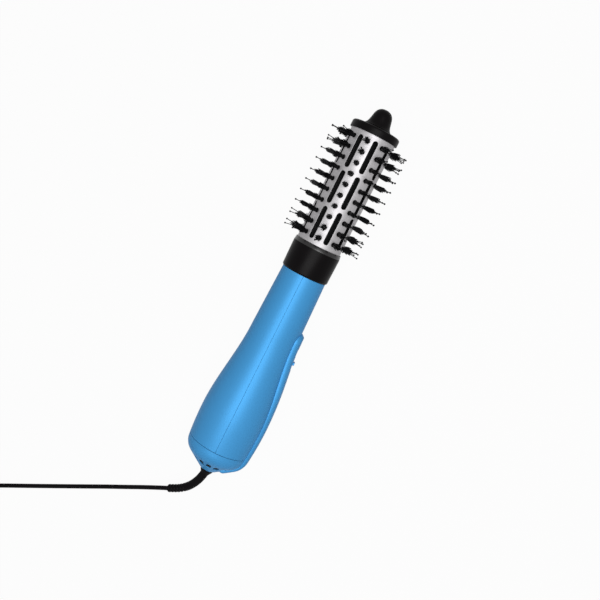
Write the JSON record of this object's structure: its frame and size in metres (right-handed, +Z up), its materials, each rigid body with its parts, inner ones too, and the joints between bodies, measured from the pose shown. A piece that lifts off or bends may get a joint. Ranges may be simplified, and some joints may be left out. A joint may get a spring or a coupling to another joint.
{
  "type": "hot air brush",
  "caption": "Hot air brush: pear-shaped handle with motor, fan and slide switch, heater in the neck, slotted round barrel with bristle tufts, cool tip, and a coiled mains cord on a swivel.",
  "frame": {"origin": "bottom centre of the bounding box of the brush as it lies, without its cord set", "axes": "+X from the base towards the cool tip, +Z up, and +Y to the side that the cord set lies on"},
  "size_m": [0.4746, 0.3135, 0.0683],
  "materials": {
    "blue_lacquer": "satin metallic lacquer",
    "black_plastic": "semi-gloss moulded",
    "brushed_aluminium": "brushed",
    "nylon": "satin",
    "cord_vinyl": "matt",
    "steel": "bright",
    "brass": "bright",
    "mica": "matt",
    "motor_steel": "zinc plated",
    "circuit_board": "satin",
    "grey_plastic": "matt",
    "resistance_wire": "dull"
  },
  "bodies": {
    "body": {"handle_shell_left": "blue_lacquer", "handle_shell_right": "blue_lacquer", "end_cap": "blue_lacquer", "cap_screw_1": "steel", "cap_screw_2": "steel", "intake_screen": "black_plastic", "switch_panel": "blue_lacquer", "slide_switch": "grey_plastic", "switch_screw_1": "steel", "switch_screw_2": "steel", "swivel_housing": "black_plastic", "contact_spring_live": "brass", "contact_spring_neutral": "brass", "fan_duct": "grey_plastic", "motor_can": "motor_steel", "rectifier_board": "circuit_board", "mica_sleeve": "mica", "heater_board_flat": "mica", "heater_board_upright": "mica", "heater_winding": "resistance_wire", "thermal_cutout": "steel", "thermal_fuse": "steel", "lead_live": "cord_vinyl", "lead_neutral": "cord_vinyl", "lead_heater": "cord_vinyl", "lead_motor": "cord_vinyl", "neck_collar": "black_plastic", "barrel": "brushed_aluminium", "bristle_carrier_1": "nylon", "bristle_carrier_2": "nylon", "bristle_carrier_3": "nylon", "rod_spider": "black_plastic", "air_guide": "black_plastic", "tie_rod": "steel", "tip_cap": "black_plastic", "rod_nut": "steel", "cool_tip": "black_plastic"},
    "slider": {"switch_slider": "blue_lacquer"},
    "rotor": {"fan": "black_plastic", "motor_shaft": "steel"},
    "cord_set": {"slip_ring": "brass", "strain_relief": "cord_vinyl", "cord_lead": "cord_vinyl", "cord_coil": "cord_vinyl", "cord_tail": "cord_vinyl", "coil_tie": "black_plastic", "plug_body": "cord_vinyl", "plug_blade_1": "brass", "plug_blade_2": "brass"}
  },
  "joints": [
    {"name": "switch_slide", "type": "slide", "parent": "body", "child": "slider", "axis": [0.9997, 0, 0.024], "range_m": [0, 0.006]},
    {"name": "fan_spin", "type": "hinge", "parent": "body", "child": "rotor", "pos_m": [-0.16437, 0.00002, 0.027], "axis": [0.9997, 0, 0.024], "continuous": true},
    {"name": "cord_swivel", "type": "hinge", "parent": "body", "child": "cord_set", "pos_m": [-0.16437, 0.00002, 0.027], "axis": [0.9997, 0, 0.024], "continuous": true}
  ]
}
